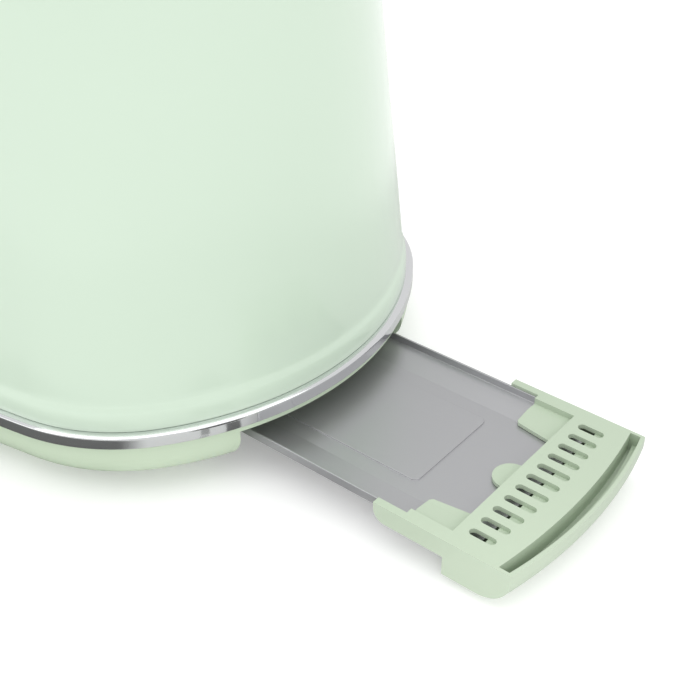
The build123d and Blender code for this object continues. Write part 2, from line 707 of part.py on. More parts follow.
with BuildPart() as cord_gland:
    with Locations(Plane(origin=(GLAND_X, 91.0, GLAND_Z), z_dir=(0, 1, 0))):
        Cylinder(GLAND_RADIUS, 10)
    with Locations(Plane(origin=(GLAND_X, 85.2, GLAND_Z), z_dir=(0, 1, 0))):
        Cylinder(5.2, 1.6)
    with Locations(Plane(origin=(GLAND_X, 91.0, GLAND_Z), z_dir=(0, 1, 0))):
        Cylinder(2.9, 20, mode=Mode.SUBTRACT)
save(cord_gland, "cord_gland")

BLOCK_Y = 70.0
TERMINAL_XS = (-68.0, -60.0, -52.0)
with BuildPart() as terminal_block:
    block(-73, -47, BLOCK_Y - 7, BLOCK_Y + 7, FLOOR_TOP, FLOOR_TOP + 11)
    for x in TERMINAL_XS:
        rod_z(x, BLOCK_Y, 2.0, FLOOR_TOP + 7, FLOOR_TOP + 12, mode=Mode.SUBTRACT)
        with Locations(Plane(origin=(x, BLOCK_Y, FLOOR_TOP + 4.5), z_dir=(0, 1, 0))):
            Cylinder(1.5, 20, mode=Mode.SUBTRACT)
save(terminal_block, "terminal_block")

with BuildPart() as terminal_screws:
    for x in TERMINAL_XS:
        rod_z(x, BLOCK_Y, 1.9, FLOOR_TOP + 7.2, FLOOR_TOP + 9.6)
save(terminal_screws, "terminal_screws")

WIRE_RADIUS = 1.1
WIRE_BEND = 3.0
CONTACT_Y = 42.0
with BuildPart() as lead_wires:
    for index, x in enumerate(TERMINAL_XS):
        entry = FLOOR_TOP + 4.5
        lane = 54.0 + index * 2.8
        top = 63.0 + index * 4.0
        end_x = -86.5 - index * 3.5
        with BuildLine() as route:
            FilletPolyline(
                (x, BLOCK_Y - 7.2, entry),
                (x, lane, entry),
                (x, lane, top),
                (end_x, lane, top),
                (end_x, CONTACT_Y, top),
                radius=WIRE_BEND,
            )
        with BuildSketch(Plane(origin=route.line @ 0, z_dir=route.line % 0)):
            Circle(WIRE_RADIUS)
        sweep(path=route.line)
save(lead_wires, "lead_wires")

with BuildPart() as contact_block:
    block(-97, END_PLATE_FACE, 31, CONTACT_Y, 60, 74)
    for z in (62.5, 70.5):
        block(-108, -97, 33, 40, z, z + 0.8)
save(contact_block, "contact_block")

# ======================= crumb tray =======================


def tray_outline(front, radius, half, back):
    """Plan face of a tray piece: straight back and sides, bowed front."""
    sag = radius - sqrt(radius**2 - half**2)
    corner = TRAY_X + front - sag
    with BuildLine(Plane.XY) as outline:
        ThreePointArc((corner, -half), (TRAY_X + front, 0), (corner, half))
        Polyline((corner, half), (TRAY_X + back, half), (TRAY_X + back, -half), (corner, -half))
    make_face(outline.edges())


PAN_RIM_TOP = TRAY_Z - 0.9
EMBOSS_FRONT = TRAY_X - 28.0
EMBOSS_HALF = 20.0
EMBOSS_HEIGHT = 0.5
PAN_FRONT = TRAY_X + 3.0
PAN_END = TRAY_X + PAN_BACK


def pan_section(lift):
    """Half of the pan's floor, from the middle out to the foot of its side wall, as points."""
    return [
        (0, PAN_FLOOR + lift),
        (PAN_FLAT_HALF, PAN_FLOOR + lift),
        (PAN_HALF - PAN_WALL, PAN_FLOOR + PAN_RISE + lift),
    ]


with BuildPart() as crumb_pan:
    with BuildSketch(Plane.YZ.offset(PAN_END)):
        with BuildLine():
            upper = pan_section(0)
            lower = pan_section(-PAN_SHEET)
            rim = [
                (PAN_HALF - PAN_WALL, PAN_RIM_TOP),
                (PAN_HALF, PAN_RIM_TOP),
                (PAN_HALF, PAN_FLOOR + 1.0),
            ]
            Polyline(*(upper + rim + lower[::-1] + [upper[0]]))
        make_face()
        mirror(about=Plane.YZ)
    extrude(amount=PAN_FRONT - PAN_END)
    # the end wall at the back
    wall_half = PAN_HALF - PAN_WALL
    block(PAN_END, PAN_END + PAN_SHEET, -wall_half, wall_half, PAN_FLOOR - PAN_SHEET, PAN_RIM_TOP)
    # narrower neck that enters between the grips of the front
    for side in (-1, 1):
        y0, y1 = sorted((side * PAN_NECK_HALF, side * (PAN_HALF + 1)))
        block(TRAY_X + GRIP_BACK - 0.1, PAN_FRONT + 1, y0, y1, PAN_FLOOR - 1, TRAY_Z,
              mode=Mode.SUBTRACT)
    # raised panel pressed into the floor
    emboss_middle = (PAN_END + 24 + EMBOSS_FRONT) / 2
    emboss_length = EMBOSS_FRONT - PAN_END - 24
    with BuildSketch(Plane.XY.offset(PAN_FLOOR - PAN_SHEET)):
        with Locations((emboss_middle, 0)):
            RectangleRounded(emboss_length, 2 * EMBOSS_HALF, 2.5)
    extrude(amount=PAN_SHEET + EMBOSS_HEIGHT)
    with BuildSketch(Plane.XY.offset(PAN_FLOOR - PAN_SHEET)):
        with Locations((emboss_middle, 0)):
            RectangleRounded(emboss_length - 1.2, 2 * EMBOSS_HALF - 1.2, 1.9)
    extrude(amount=EMBOSS_HEIGHT, mode=Mode.SUBTRACT)
save(crumb_pan, "crumb_pan")

GROOVE_FLOOR = TRAY_Z - 7.0
GROOVE_LEDGE = TRAY_Z - 4.6
GROOVE_END = 38.9
SHELF_X = 5.6
UNDER_PLATE = TRAY_Z - PLATE
GRIP_INNER = 35.0
ARM_INNER = PAN_HALF + 0.05
TONGUE_GAP = 0.2
TONGUE_THICK = 1.3
TONGUE_INNER = 22.4
TONGUE_OUTER = 35.1
FLOOR_SLOPE = PAN_RISE / (PAN_HALF - PAN_WALL - PAN_FLAT_HALF)


def slot_front(y):
    """Distance from the slots' straight back row to the front end of the slot at y."""
    return 11.6 - 0.0024 * y**2


def groove_cut(low, outer):
    """Cut the finger groove down to low, between the plate and a lip whose inner face is at outer."""
    with BuildSketch(Plane.XY.offset(low)) as groove:
        tray_outline(outer, LIP_INNER_RADIUS, GROOVE_END, 0)
        plate_edge = TRAY_X + PLATE_FRONT - PLATE_RADIUS
        with Locations((plate_edge, 0)):
            Circle(PLATE_RADIUS, mode=Mode.SUBTRACT)
    extrude(groove.sketch, amount=20, mode=Mode.SUBTRACT)


def side_tongue(side):
    """Tongue of the tray front that lies over the pan's floor and its rising side."""
    low = PAN_FLOOR + TONGUE_GAP
    rise = (TONGUE_OUTER - PAN_FLAT_HALF) * FLOOR_SLOPE
    with BuildPart() as tongue:
        with BuildSketch(Plane.XY.offset(low - 1)):
            with BuildLine():
                Polyline(
                    (TRAY_X + PLATE_BACK + 2, side * TONGUE_INNER),
                    (TRAY_X - 5.6, side * TONGUE_INNER),
                    (TRAY_X - 18.4, side * 24.2),
                    (TRAY_X - 19.3, side * 25.3),
                    (TRAY_X - 19.3, side * 31.4),
                    (TRAY_X - 18.8, side * TONGUE_OUTER),
                    (TRAY_X + PLATE_BACK + 2, side * TONGUE_OUTER),
                    (TRAY_X + PLATE_BACK + 2, side * TONGUE_INNER),
                )
            make_face()
        extrude(amount=8)
        with BuildSketch(Plane.YZ.offset(TRAY_X - 25)):
            with BuildLine():
                Polyline(
                    (side * (TONGUE_INNER - 1), low),
                    (side * PAN_FLAT_HALF, low),
                    (side * TONGUE_OUTER, low + rise),
                    (side * TONGUE_OUTER, low + rise + TONGUE_THICK),
                    (side * PAN_FLAT_HALF, low + TONGUE_THICK),
                    (side * (TONGUE_INNER - 1), low + TONGUE_THICK),
                    (side * (TONGUE_INNER - 1), low),
                )
            make_face()
        extrude(amount=30, mode=Mode.INTERSECT)
        with BuildSketch(Plane.YZ.offset(TRAY_X + PLATE_BACK)):
            with BuildLine():
                Polyline(
                    (side * TONGUE_INNER, low),
                    (side * PAN_FLAT_HALF, low),
                    (side * TONGUE_OUTER, low + rise),
                    (side * TONGUE_OUTER, UNDER_PLATE + 0.1),
                    (side * TONGUE_INNER, UNDER_PLATE + 0.1),
                    (side * TONGUE_INNER, low),
                )
            make_face()
        extrude(amount=2)
    return tongue.part


with BuildPart() as tray_front:
    # deep front block with its rounded underside
    with BuildSketch(Plane.XY.offset(TRAY_Z - TRAY_DEPTH)):
        tray_outline(LIP_OUTER, LIP_OUTER_RADIUS, TRAY_HALF, PLATE_BACK)
    extrude(amount=TRAY_DEPTH)
    low_front = tray_front.faces().sort_by(Axis.Z)[0].edges().sort_by(Axis.X)[-1]
    fillet(low_front, TRAY_ROUNDING)
    # side arms that reach back outside the pan, with grips ahead of its walls
    for side in (-1, 1):
        y0, y1 = sorted((side * ARM_INNER, side * TRAY_HALF))
        block(TRAY_X + ARM_BACK, TRAY_X + PLATE_BACK, y0, y1, TRAY_Z - ARM_HEIGHT, TRAY_Z)
        y0, y1 = sorted((side * GRIP_INNER, side * ARM_INNER))
        block(TRAY_X + GRIP_BACK, TRAY_X + PLATE_BACK, y0, y1, TRAY_Z - ARM_HEIGHT, TRAY_Z)
    arm_ends = tray_front.faces().filter_by(Axis.X).sort_by(Axis.X)[:2]
    fillet(arm_ends.edges().filter_by(Axis.Y).group_by(Axis.Z)[0], 4.5)
    # the hollow under the top plate
    block(TRAY_X + PLATE_BACK + 1.6, TRAY_X + SHELF_X, -37.6, 37.6, TRAY_Z - TRAY_DEPTH + 1.6,
          UNDER_PLATE, mode=Mode.SUBTRACT)
    # the way in for the pan's neck
    pan_way = PAN_NECK_HALF + 0.2
    block(TRAY_X + PLATE_BACK - 1, PAN_FRONT + 0.2, -pan_way, pan_way, PAN_FLOOR - PAN_SHEET - 0.2,
          UNDER_PLATE, mode=Mode.SUBTRACT)
    # finger groove between the plate and the bowed lip, with a ledge along the lip
    groove_cut(GROOVE_LEDGE, LIP_INNER)
    groove_cut(GROOVE_FLOOR, LIP_INNER - 2.4)
    # slots in the plate, straight at the back and following the bow at the front
    for index in range(SLOT_COUNT):
        y = (index - (SLOT_COUNT - 1) / 2) * SLOT_PITCH
        length = slot_front(y)
        with BuildSketch(Plane.XY.offset(UNDER_PLATE - 0.05)):
            with Locations((TRAY_X + length / 2, y)):
                SlotOverall(length, SLOT_WIDTH)
        extrude(amount=5, mode=Mode.SUBTRACT)
    # tongues that lie over the pan's floor
    for side in (-1, 1):
        add(side_tongue(side))
    tongue_low = PAN_FLOOR + TONGUE_GAP
    with BuildSketch(Plane.XY.offset(tongue_low)):
        with Locations((TRAY_X - 5.4, 0)):
            Circle(6.2)
        with Locations((TRAY_X + PLATE_BACK + 12, 0)):
            Rectangle(20, 20, mode=Mode.SUBTRACT)
    extrude(amount=TONGUE_THICK)
    block(TRAY_X + PLATE_BACK, TRAY_X + PLATE_BACK + 2, -6, 6, tongue_low, UNDER_PLATE + 0.1)
save(tray_front, "tray_front")
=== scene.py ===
import bmesh
import bpy
import json
from math import atan2, cos, hypot, pi, radians, sin, sqrt, tan
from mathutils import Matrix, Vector


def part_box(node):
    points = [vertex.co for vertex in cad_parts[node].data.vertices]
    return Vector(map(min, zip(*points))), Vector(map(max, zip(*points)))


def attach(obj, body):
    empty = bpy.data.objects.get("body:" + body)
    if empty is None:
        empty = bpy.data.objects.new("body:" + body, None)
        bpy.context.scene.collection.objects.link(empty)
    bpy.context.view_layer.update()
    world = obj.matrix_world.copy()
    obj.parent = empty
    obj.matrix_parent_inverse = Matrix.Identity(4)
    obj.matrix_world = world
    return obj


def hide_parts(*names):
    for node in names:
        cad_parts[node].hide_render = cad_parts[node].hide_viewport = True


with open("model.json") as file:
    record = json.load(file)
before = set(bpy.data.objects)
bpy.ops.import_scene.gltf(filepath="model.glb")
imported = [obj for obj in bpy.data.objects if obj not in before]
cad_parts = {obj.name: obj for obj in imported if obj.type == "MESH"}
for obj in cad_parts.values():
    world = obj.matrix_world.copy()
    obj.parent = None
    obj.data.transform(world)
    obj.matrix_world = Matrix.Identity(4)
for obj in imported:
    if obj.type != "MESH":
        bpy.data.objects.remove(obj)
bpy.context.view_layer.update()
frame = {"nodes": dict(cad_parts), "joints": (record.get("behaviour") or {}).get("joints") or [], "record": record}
nodes = frame["nodes"]
scene = bpy.context.scene
scene.view_settings.view_transform = "Standard"

MM = 0.001

# ---------------------------------------------------------------- materials


def surface(
    name,
    colour,
    roughness,
    metallic=0.0,
    coat=0.0,
    tone=0.03,
    tone_scale=14.0,
    spread=0.04,
    grain=220.0,
    stretch=(1.0, 1.0, 1.0),
    bump=0.15,
    bump_scale=900.0,
    bump_depth=0.00003,
    specular=0.5,
):
    """Procedural material: mottled colour, uneven roughness and a fine surface grain."""
    material = bpy.data.materials.new(name)
    material.use_nodes = True
    tree = material.node_tree
    shader = tree.nodes["Principled BSDF"]
    shader.inputs["Metallic"].default_value = metallic
    shader.inputs["Coat Weight"].default_value = coat
    shader.inputs["Coat Roughness"].default_value = 0.06
    shader.inputs["Specular IOR Level"].default_value = specular
    place = tree.nodes.new("ShaderNodeTexCoord")
    mapping = tree.nodes.new("ShaderNodeMapping")
    mapping.inputs["Scale"].default_value = stretch
    tree.links.new(place.outputs["Object"], mapping.inputs["Vector"])

    def noise(scale, detail, source):
        texture = tree.nodes.new("ShaderNodeTexNoise")
        texture.inputs["Scale"].default_value = scale
        texture.inputs["Detail"].default_value = detail
        tree.links.new(source, texture.inputs["Vector"])
        return texture.outputs["Fac"]

    mottle = noise(tone_scale, 2.0, place.outputs["Object"])
    ramp = tree.nodes.new("ShaderNodeValToRGB")
    ramp.color_ramp.elements[0].position = 0.3
    ramp.color_ramp.elements[1].position = 0.7
    ramp.color_ramp.elements[0].color = [c * (1 - tone) for c in colour] + [1]
    ramp.color_ramp.elements[1].color = [min(1.0, c * (1 + tone)) for c in colour] + [1]
    tree.links.new(mottle, ramp.inputs["Fac"])
    tree.links.new(ramp.outputs["Color"], shader.inputs["Base Color"])
    streak = noise(grain, 4.0, mapping.outputs["Vector"])
    reach = tree.nodes.new("ShaderNodeMapRange")
    reach.inputs["From Min"].default_value = 0.3
    reach.inputs["From Max"].default_value = 0.7
    reach.inputs["To Min"].default_value = max(0.02, roughness - spread)
    reach.inputs["To Max"].default_value = roughness + spread
    tree.links.new(streak, reach.inputs["Value"])
    tree.links.new(reach.outputs["Result"], shader.inputs["Roughness"])
    pits = noise(bump_scale, 3.0, mapping.outputs["Vector"])
    relief = tree.nodes.new("ShaderNodeBump")
    relief.inputs["Strength"].default_value = bump
    relief.inputs["Distance"].default_value = bump_depth
    tree.links.new(pits, relief.inputs["Height"])
    tree.links.new(relief.outputs["Normal"], shader.inputs["Normal"])
    return material


MATERIALS = {
    "shell_paint": surface(
        "shell_paint", (0.60, 0.725, 0.595), 0.24, coat=0.45, tone=0.006, spread=0.03, grain=40,
        bump=0.10, bump_scale=420, bump_depth=0.00004),
    "base_plastic": surface(
        "base_plastic", (0.555, 0.665, 0.505), 0.30, coat=0.1, tone=0.006, spread=0.03,
        grain=40, bump=0.05, bump_scale=420),
    "tray_plastic": surface(
        "tray_plastic", (0.485, 0.570, 0.445), 0.34, tone=0.012, spread=0.04, bump=0.08,
        bump_scale=1500),
    "control_plastic": surface(
        "control_plastic", (0.60, 0.725, 0.59), 0.20, coat=0.3, tone=0.012, bump=0.10),
    "chrome": surface(
        "chrome", (0.80, 0.81, 0.82), 0.09, metallic=1.0, tone=0.01, spread=0.025, grain=300,
        stretch=(1, 1, 12), bump=0.04, bump_scale=500),
    "tray_steel": surface(
        "tray_steel", (0.48, 0.48, 0.495), 0.33, metallic=0.75, tone=0.01, spread=0.03, grain=60,
        stretch=(1, 20, 20), bump=0.02, bump_scale=60),
    "frame_steel": surface(
        "frame_steel", (0.52, 0.53, 0.54), 0.36, metallic=1.0, tone=0.05, spread=0.06, grain=90,
        stretch=(14, 14, 1), bump=0.20, bump_scale=120),
    "guide_wire": surface(
        "guide_wire", (0.62, 0.62, 0.62), 0.24, metallic=1.0, tone=0.05, spread=0.05, bump=0.15),
    "core_iron": surface(
        "core_iron", (0.22, 0.22, 0.23), 0.50, metallic=1.0, tone=0.12, spread=0.10, grain=600,
        stretch=(1, 1, 30), bump=0.3),
    "mica": surface(
        "mica", (0.58, 0.52, 0.40), 0.42, tone=0.22, tone_scale=160, spread=0.10, bump=0.4,
        bump_scale=500),
    "heating_ribbon": surface(
        "heating_ribbon", (0.28, 0.25, 0.22), 0.42, metallic=1.0, tone=0.20, tone_scale=60,
        spread=0.08),
    "coil_copper": surface(
        "coil_copper", (0.66, 0.28, 0.12), 0.32, metallic=1.0, tone=0.10, grain=400,
        stretch=(1, 1, 20), bump=0.8, bump_scale=160, bump_depth=0.0002),
    "rubber": surface(
        "rubber", (0.035, 0.035, 0.037), 0.72, tone=0.15, spread=0.08, bump=0.5,
        bump_scale=1400, specular=0.3),
    "screw_steel": surface(
        "screw_steel", (0.46, 0.46, 0.47), 0.32, metallic=1.0, tone=0.05, bump=0.2),
    "inner_plastic": surface(
        "inner_plastic", (0.03, 0.03, 0.033), 0.52, tone=0.10, spread=0.06, bump=0.4, bump_scale=1600),
    "terminal_plastic": surface(
        "terminal_plastic", (0.66, 0.63, 0.55), 0.48, tone=0.04, bump=0.3),
    "circuit_board": surface(
        "circuit_board", (0.02, 0.12, 0.05), 0.38, coat=0.3, tone=0.25, tone_scale=240, bump=0.3),
    "wire_insulation": surface(
        "wire_insulation", (0.68, 0.67, 0.63), 0.50, tone=0.05, grain=700, bump=0.5, bump_scale=1200),
    "pointer_paint": surface(
        "pointer_paint", (0.78, 0.78, 0.75), 0.35, tone=0.02, bump=0.2),
}
NODE_SLOT = {part["node"]: part["material_slot"] for part in frame["record"]["subparts"]}


def coat_node(name):
    """Give a CAD node the material of its slot."""
    node = nodes[name]
    node.data.materials.clear()
    node.data.materials.append(MATERIALS[NODE_SLOT[name]])


for name in nodes:
    coat_node(name)

# ---------------------------------------------------------------- mesh helpers

BODY_OF = {
    node: body
    for body, members in frame["record"]["behaviour"]["bodies"].items()
    for node in members
}
SAME_POINT = 2e-6
COPLANAR = radians(0.6)


def make_object(name, mesh, node):
    """A new piece that takes a CAD node's place, body and finish."""
    piece = bpy.data.objects.new(name, mesh)
    scene.collection.objects.link(piece)
    mesh.materials.clear()
    mesh.materials.append(MATERIALS[NODE_SLOT[node]])
    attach(piece, BODY_OF[node])
    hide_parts(node)
    return piece


def shade(mesh, angle):
    """Shade a mesh smooth, but keep edges sharper than an angle in degrees."""
    mesh.shade_smooth()
    mesh.set_sharp_from_angle(angle=radians(angle))


def soften(piece, width, segments=3, angle=32):
    """Round the sharp edges and shade the rest smooth."""
    shade(piece.data, angle)
    bevel = piece.modifiers.new("rounded_edges", "BEVEL")
    bevel.width = width
    bevel.segments = segments
    bevel.limit_method = "ANGLE"
    bevel.angle_limit = radians(angle)
    bevel.harden_normals = True
    bevel.miter_outer = "MITER_ARC"
    weight = piece.modifiers.new("even_shading", "WEIGHTED_NORMAL")
    weight.keep_sharp = True
    weight.weight = 80


def refined(node, name, width, segments=3, angle=32):
    """A finer copy of a CAD node: coplanar faces joined and every edge rounded."""
    mesh = nodes[node].data.copy()
    mesh.name = name
    form = bmesh.new()
    form.from_mesh(mesh)
    bmesh.ops.remove_doubles(form, verts=form.verts, dist=SAME_POINT)
    bmesh.ops.dissolve_limit(
        form, angle_limit=COPLANAR, use_dissolve_boundaries=False,
        verts=form.verts, edges=form.edges)
    form.to_mesh(mesh)
    form.free()
    soften(make_object(name, mesh, node), width, segments, angle)


def join_rings(form, low, high):
    """Quads between two closed rings with the same number of vertices."""
    count = len(low)
    for i in range(count):
        j = (i + 1) % count
        form.faces.new((low[i], low[j], high[j], high[i]))


def finished_mesh(form, name):
    """Named mesh of a form, with its faces turned outwards."""
    bmesh.ops.recalc_face_normals(form, faces=form.faces)
    mesh = bpy.data.meshes.new(name)
    form.to_mesh(mesh)
    form.free()
    return mesh


# ---------------------------------------------------------------- oval plan of the toaster

band_low, band_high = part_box("base_band")
shell_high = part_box("body_shell")[1]
HALF_LENGTH = band_high.x
HALF_WIDTH = band_high.y
END_RADIUS = 109.5 * MM
SIDE_RADIUS = 440 * MM
CORNER_RADIUS = 64 * MM
END_X = HALF_LENGTH - END_RADIUS
SIDE_Y = HALF_WIDTH - SIDE_RADIUS
END_STEPS = 64
CORNER_STEPS = 26
SIDE_STEPS = 84
LEAN = radians(5.5)


def corner_centre():
    """Centre of the corner arc that is tangent to the end arc and to the side arc."""
    reach_end = END_RADIUS - CORNER_RADIUS
    reach_side = SIDE_RADIUS - CORNER_RADIUS
    base = hypot(END_X, SIDE_Y)
    along = (reach_side**2 - reach_end**2 + base**2) / (2 * base)
    out = sqrt(reach_side**2 - along**2)
    unit_x, unit_y = END_X / base, -SIDE_Y / base
    return unit_x * along + unit_y * out, SIDE_Y + unit_y * along - unit_x * out


CORNER_X, CORNER_Y = corner_centre()
END_ANGLE = atan2(CORNER_Y, CORNER_X - END_X)
SIDE_ANGLE = atan2(CORNER_Y - SIDE_Y, CORNER_X)


def oval_stations():
    """Arc centre, radius and direction of each station around the oval, anticlockwise from +X."""
    corner = CORNER_RADIUS
    arcs = [
        ((END_X, 0), END_RADIUS, -END_ANGLE, END_ANGLE, END_STEPS),
        ((CORNER_X, CORNER_Y), corner, END_ANGLE, SIDE_ANGLE, CORNER_STEPS),
        ((0, SIDE_Y), SIDE_RADIUS, SIDE_ANGLE, pi - SIDE_ANGLE, SIDE_STEPS),
        ((-CORNER_X, CORNER_Y), corner, pi - SIDE_ANGLE, pi - END_ANGLE, CORNER_STEPS),
        ((-END_X, 0), END_RADIUS, pi - END_ANGLE, pi + END_ANGLE, END_STEPS),
        ((-CORNER_X, -CORNER_Y), corner, pi + END_ANGLE, pi + SIDE_ANGLE, CORNER_STEPS),
        ((0, -SIDE_Y), SIDE_RADIUS, pi + SIDE_ANGLE, 2 * pi - SIDE_ANGLE, SIDE_STEPS),
        ((CORNER_X, -CORNER_Y), corner, 2 * pi - SIDE_ANGLE, 2 * pi - END_ANGLE, CORNER_STEPS),
    ]
    stations = []
    for centre, radius, start, end, count in arcs:
        for step in range(count):
            turn = start + (end - start) * step / count
            stations.append((centre, radius, turn))
    return stations


STATIONS = oval_stations()


def oval_ring(form, inset, z):
    """One ring of vertices around the oval, moved inwards by inset."""
    ring = []
    for (centre_x, centre_y), radius, turn in STATIONS:
        reach = radius - inset
        point = (centre_x + reach * cos(turn), centre_y + reach * sin(turn), z)
        ring.append(form.verts.new(point))
    return ring


def sweep_oval(name, profile, closed=True):
    """Mesh of a profile of (inset, height) points carried round the oval."""
    form = bmesh.new()
    rings = [oval_ring(form, inset, z) for inset, z in profile]
    pairs = list(zip(rings, rings[1:]))
    if closed:
        pairs.append((rings[-1], rings[0]))
    for low, high in pairs:
        join_rings(form, low, high)
    if not closed:
        form.faces.new(rings[0][::-1])
        form.faces.new(rings[-1])
    return finished_mesh(form, name)


def arc(centre, radius, start, end, steps):
    """Points along an arc in the (inset, height) plane."""
    points = []
    for i in range(steps + 1):
        turn = start + (end - start) * i / steps
        points.append((centre[0] + radius * cos(turn), centre[1] + radius * sin(turn)))
    return points


def prism(name, outline, place_low, place_high):
    """Closed mesh between two copies of an outline, each placed by its own function."""
    form = bmesh.new()
    low = [form.verts.new(place_low(point)) for point in outline]
    high = [form.verts.new(place_high(point)) for point in outline]
    join_rings(form, low, high)
    form.faces.new(low[::-1])
    form.faces.new(high)
    return finished_mesh(form, name)


def rounded_box_outline(half_u, half_v, radius, steps=10):
    """Points of a rectangle with rounded corners, centred on the origin."""
    points = []
    for quarter in range(4):
        sign_u = 1 if quarter in (0, 3) else -1
        sign_v = 1 if quarter in (0, 1) else -1
        for i in range(steps + 1):
            turn = pi / 2 * (quarter + i / steps)
            points.append((
                sign_u * (half_u - radius) + radius * cos(turn),
                sign_v * (half_v - radius) + radius * sin(turn),
            ))
    return points


def carve(piece, cutters):
    """Subtract the cutter meshes from a piece and keep the result."""
    for index, mesh in enumerate(cutters):
        cutter = bpy.data.objects.new("cutter", mesh)
        scene.collection.objects.link(cutter)
        cut = piece.modifiers.new(f"cut_{index}", "BOOLEAN")
        cut.operation = "DIFFERENCE"
        cut.solver = "EXACT"
        cut.object = cutter
        bpy.context.view_layer.update()
        graph = bpy.context.evaluated_depsgraph_get()
        result = bpy.data.meshes.new_from_object(piece.evaluated_get(graph))
        piece.modifiers.clear()
        piece.data = result
        bpy.data.objects.remove(cutter)


# ---------------------------------------------------------------- painted shell

BAND_TOP = band_high.z
SHELL_TOP = shell_high.z
BEAD_TOP = 36.5 * MM
WALL_INSET = 4.2 * MM
BEAD_INSET = 2.7 * MM
SHOULDER = 32 * MM
SHOULDER_STEPS = 24
SHEET = 1.2 * MM
FOOT_INSET = 5.0 * MM
FOOT_Z = BAND_TOP + 0.05 * MM
# the bead at the shell's foot, in mm: (inset beyond BEAD_INSET, height above the band)
BEAD = (
    (0.08, 0.12), (0.0, 0.35), (-0.02, 1.5), (0.0, 2.8), (0.08, 4.2), (0.25, 5.6),
    (0.60, 6.9), (1.05, 7.9), (1.35, 8.7), (1.57, 9.6),
)
# heights in mm of the rings up the leaning wall
WALL_HEIGHTS = (39, 42, 48, 60, 80, 100, 120, 140, 155, 165)


def wall_inset(z):
    """How far the leaning wall stands inside the oval at a height."""
    return WALL_INSET + (z - BEAD_TOP) * tan(LEAN)


def shoulder(grow):
    """The rounded shoulder's points, from the leaning wall to the flat top."""
    radius = SHOULDER + grow
    centre_z = SHELL_TOP - SHOULDER
    centre = wall_inset(centre_z) + SHOULDER / cos(LEAN)
    points = []
    for i in range(SHOULDER_STEPS + 1):
        turn = LEAN + (pi / 2 - LEAN) * i / SHOULDER_STEPS
        points.append((centre - radius * cos(turn), centre_z + radius * sin(turn)))
    return points


def shell_profile():
    """Outside and inside of the shell's wall, from its foot to the flat top."""
    bead = [(FOOT_INSET, FOOT_Z), (3.0 * MM, FOOT_Z)]
    bead += [(BEAD_INSET + inset * MM, BAND_TOP + height * MM) for inset, height in BEAD]
    wall = [(wall_inset(z * MM), z * MM) for z in WALL_HEIGHTS]
    outside = bead + wall + shoulder(0)
    top_inset = outside[-1][0]
    outside += [(top_inset + step * MM, SHELL_TOP) for step in (3, 6)]
    inside = [(FOOT_INSET + 0.2 * MM, FOOT_Z)]
    inside += [(inset + SHEET, z) for inset, z in wall] + shoulder(-SHEET)
    return outside, inside


def shell_mesh():
    """Mesh of the shell: two skins joined along the foot."""
    form = bmesh.new()
    outside, inside = [
        [oval_ring(form, inset, z) for inset, z in skin] for skin in shell_profile()
    ]
    for rings in (outside, inside):
        for low, high in zip(rings, rings[1:]):
            join_rings(form, low, high)
    join_rings(form, outside[0], inside[0])
    form.faces.new(outside[-1])
    form.faces.new(inside[-1])
    return finished_mesh(form, "shell")


shell = make_object("shell", shell_mesh(), "body_shell")

# the panel plane on the leaning -X end wall, from the browning knob's own axis
knob_joint = next(joint for joint in frame["joints"] if joint["name"] == "browning_turn")
KNOB_AT = Vector(knob_joint["pos_m"])
PANEL_OUT = Vector(knob_joint["axis"]).normalized()
PANEL_SIDE = Vector((0, -1, 0))
PANEL_UP = PANEL_OUT.cross(PANEL_SIDE).normalized()
BUTTONS_ABOVE_KNOB = 28 * MM
BUTTONS_AT = KNOB_AT + PANEL_UP * BUTTONS_ABOVE_KNOB


def on_panel(centre, out):
    """Maker of panel points: (u, v) to a point that stands out from the panel by out."""
    return lambda point: centre + PANEL_SIDE * point[0] + PANEL_UP * point[1] + PANEL_OUT * out


def circle_outline(radius, count=72):
    """Points of a circle around the origin."""
    turns = [2 * pi * i / count for i in range(count)]
    return [(radius * cos(turn), radius * sin(turn)) for turn in turns]


def upright(z):
    """Maker of points at one height."""
    return lambda point: (point[0], point[1], z)


def across_end(x, z):
    """Maker of points on an upright plane across the -X end, around a height."""
    return lambda point: (x, point[0], z + point[1])


# each cutter reaches this far to both sides of the sheet
HOLE_REACH = 0.01
LEVER_HOLE_OUT = -0.17
LEVER_HOLE_IN = -0.11
# how far the lever's hole stops short of the ends of its trim
TRIM_LAP = 2.0 * MM
trim_low, trim_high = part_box("lever_slot_trim")
slot_middle = (trim_low.z + trim_high.z) / 2
slot_half = (trim_high.z - trim_low.z) / 2 - TRIM_LAP
top_hole = rounded_box_outline(80 * MM, 43.5 * MM, 11 * MM)
lever_hole = rounded_box_outline(4.5 * MM, slot_half, 4.49 * MM)
knob_hole = circle_outline(15.6 * MM)
button_hole = rounded_box_outline(21.3 * MM, 5.5 * MM, 5.45 * MM)
carve(shell, [
    prism("top_hole", top_hole, upright(SHELL_TOP - HOLE_REACH), upright(SHELL_TOP + HOLE_REACH)),
    prism("lever_hole", lever_hole,
          across_end(LEVER_HOLE_OUT, slot_middle), across_end(LEVER_HOLE_IN, slot_middle)),
    prism("knob_hole", knob_hole, on_panel(KNOB_AT, -HOLE_REACH), on_panel(KNOB_AT, HOLE_REACH)),
    prism("button_hole", button_hole,
          on_panel(BUTTONS_AT, -HOLE_REACH), on_panel(BUTTONS_AT, HOLE_REACH)),
])
shade(shell.data, 40)

# ---------------------------------------------------------------- metal band

BAND_LOW = band_low.z
BAND_BACK = 6.5 * MM
LOW_ROUND = 0.4 * MM
